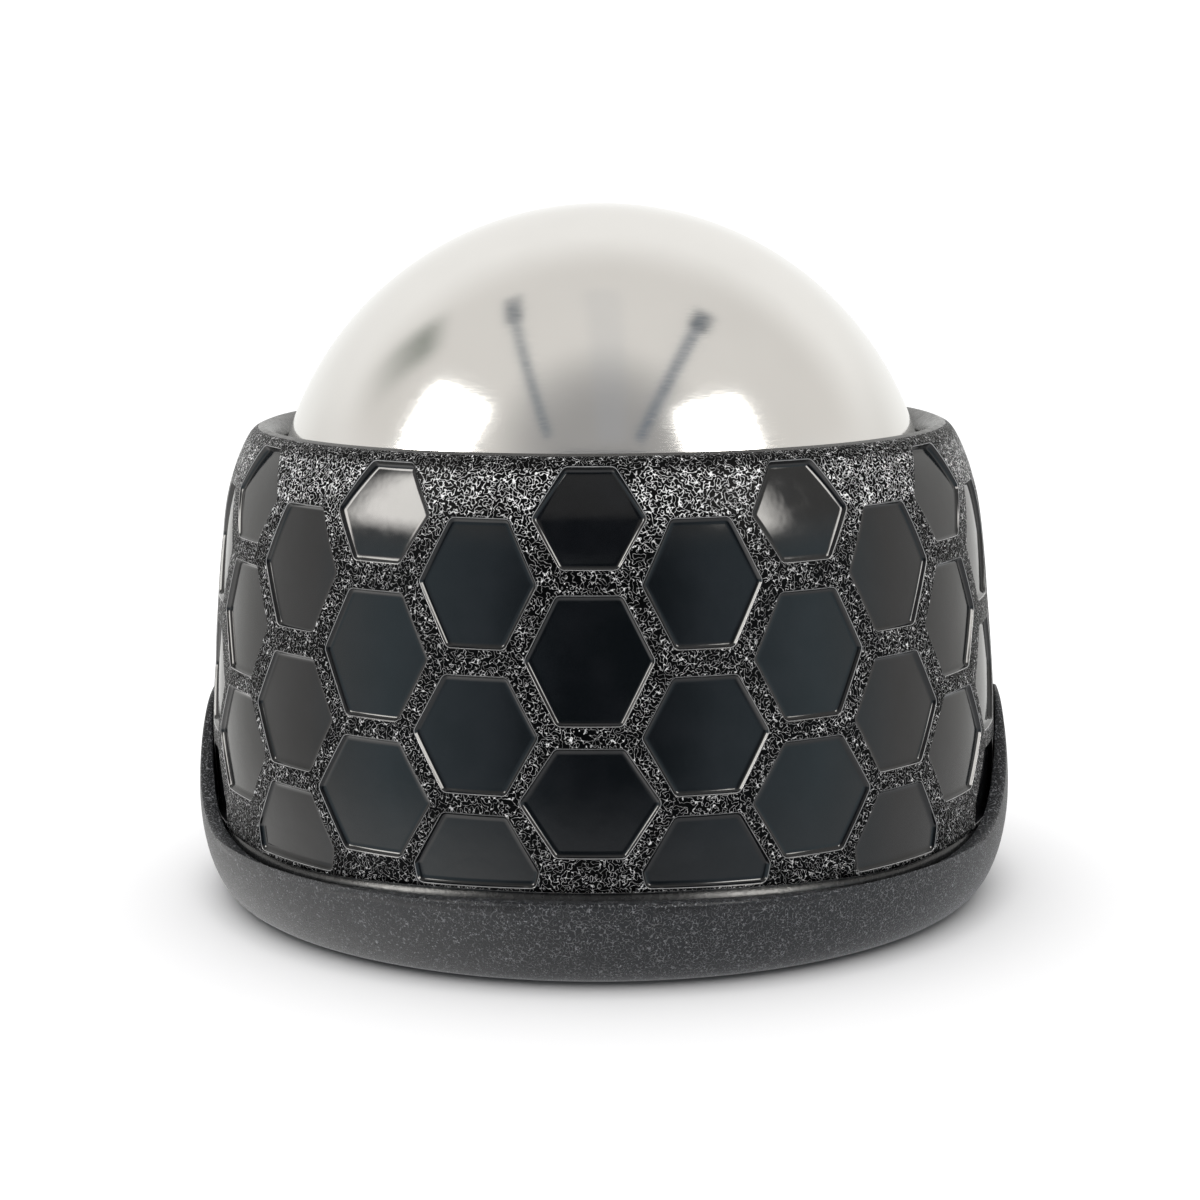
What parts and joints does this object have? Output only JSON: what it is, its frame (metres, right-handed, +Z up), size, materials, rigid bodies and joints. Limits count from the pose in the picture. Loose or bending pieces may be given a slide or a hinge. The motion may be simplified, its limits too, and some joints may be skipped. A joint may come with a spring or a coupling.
{
  "type": "massage roller ball",
  "caption": "Cold massage roller: a polished, gel-filled steel ball that turns freely in a textured hand grip with sunken hexagons and a non-slip foot.",
  "frame": {"origin": "centre of the underside of the non-slip pad, on the ball's vertical axis", "axes": "+Z up through the exposed top of the ball; the cup's two raised lobes lie on -X and +X; the front, with a hexagon column on its middle, faces -Y"},
  "size_m": [0.0784, 0.0782, 0.0649],
  "materials": {
    "polished_steel": "polished",
    "bearing_steel": "polished",
    "grip_plastic": "gloss",
    "cup_plastic": "satin",
    "glide_plastic": "satin",
    "cradle_plastic": "satin",
    "gel": "satin",
    "screw_steel": "satin",
    "adhesive": "matte",
    "pad_rubber": "matte"
  },
  "bodies": {
    "housing": {"collar": "grip_plastic", "base_cup": "cup_plastic", "glide_ring": "glide_plastic", "bearing_cradle": "cradle_plastic", "housing_screws": "screw_steel", "pad_adhesive": "adhesive", "non_slip_pad": "pad_rubber"},
    "ball_core": {"gel_core": "gel"},
    "ball": {"ball_shell": "polished_steel", "fill_plug": "polished_steel"},
    "support_1": {"support_ball_1": "bearing_steel"},
    "support_2": {"support_ball_2": "bearing_steel"},
    "support_3": {"support_ball_3": "bearing_steel"},
    "support_4": {"support_ball_4": "bearing_steel"},
    "support_5": {"support_ball_5": "bearing_steel"},
    "support_6": {"support_ball_6": "bearing_steel"}
  },
  "joints": [
    {"name": "ball_roll", "type": "hinge", "parent": "housing", "child": "ball_core", "pos_m": [0, 0, 0.0334], "axis": [1, 0, 0], "continuous": true},
    {"name": "ball_spin", "type": "hinge", "parent": "ball_core", "child": "ball", "pos_m": [0, 0, 0.0334], "axis": [0, 0, 1], "continuous": true},
    {"name": "support_roll_1", "type": "hinge", "parent": "housing", "child": "support_1", "pos_m": [0.02098, 0, 0.00654], "axis": [0.788, 0, 0.6157], "continuous": true},
    {"name": "support_roll_2", "type": "hinge", "parent": "housing", "child": "support_2", "pos_m": [0.01049, 0.01817, 0.00654], "axis": [0.9514, -0.1725, 0.255], "continuous": true},
    {"name": "support_roll_3", "type": "hinge", "parent": "housing", "child": "support_3", "pos_m": [-0.01049, 0.01817, 0.00654], "axis": [0.9514, 0.1725, -0.255], "continuous": true},
    {"name": "support_roll_4", "type": "hinge", "parent": "housing", "child": "support_4", "pos_m": [-0.02098, 0, 0.00654], "axis": [0.788, 0, -0.6157], "continuous": true},
    {"name": "support_roll_5", "type": "hinge", "parent": "housing", "child": "support_5", "pos_m": [-0.01049, -0.01817, 0.00654], "axis": [0.9514, -0.1725, -0.255], "continuous": true},
    {"name": "support_roll_6", "type": "hinge", "parent": "housing", "child": "support_6", "pos_m": [0.01049, -0.01817, 0.00654], "axis": [0.9514, 0.1725, 0.255], "continuous": true}
  ],
  "couplings": [
    {"joint": "support_roll_1", "follows": "ball_roll", "ratio": -9.9289},
    {"joint": "support_roll_2", "follows": "ball_roll", "ratio": -11.988},
    {"joint": "support_roll_3", "follows": "ball_roll", "ratio": -11.988},
    {"joint": "support_roll_4", "follows": "ball_roll", "ratio": -9.9289},
    {"joint": "support_roll_5", "follows": "ball_roll", "ratio": -11.988},
    {"joint": "support_roll_6", "follows": "ball_roll", "ratio": -11.988}
  ]
}
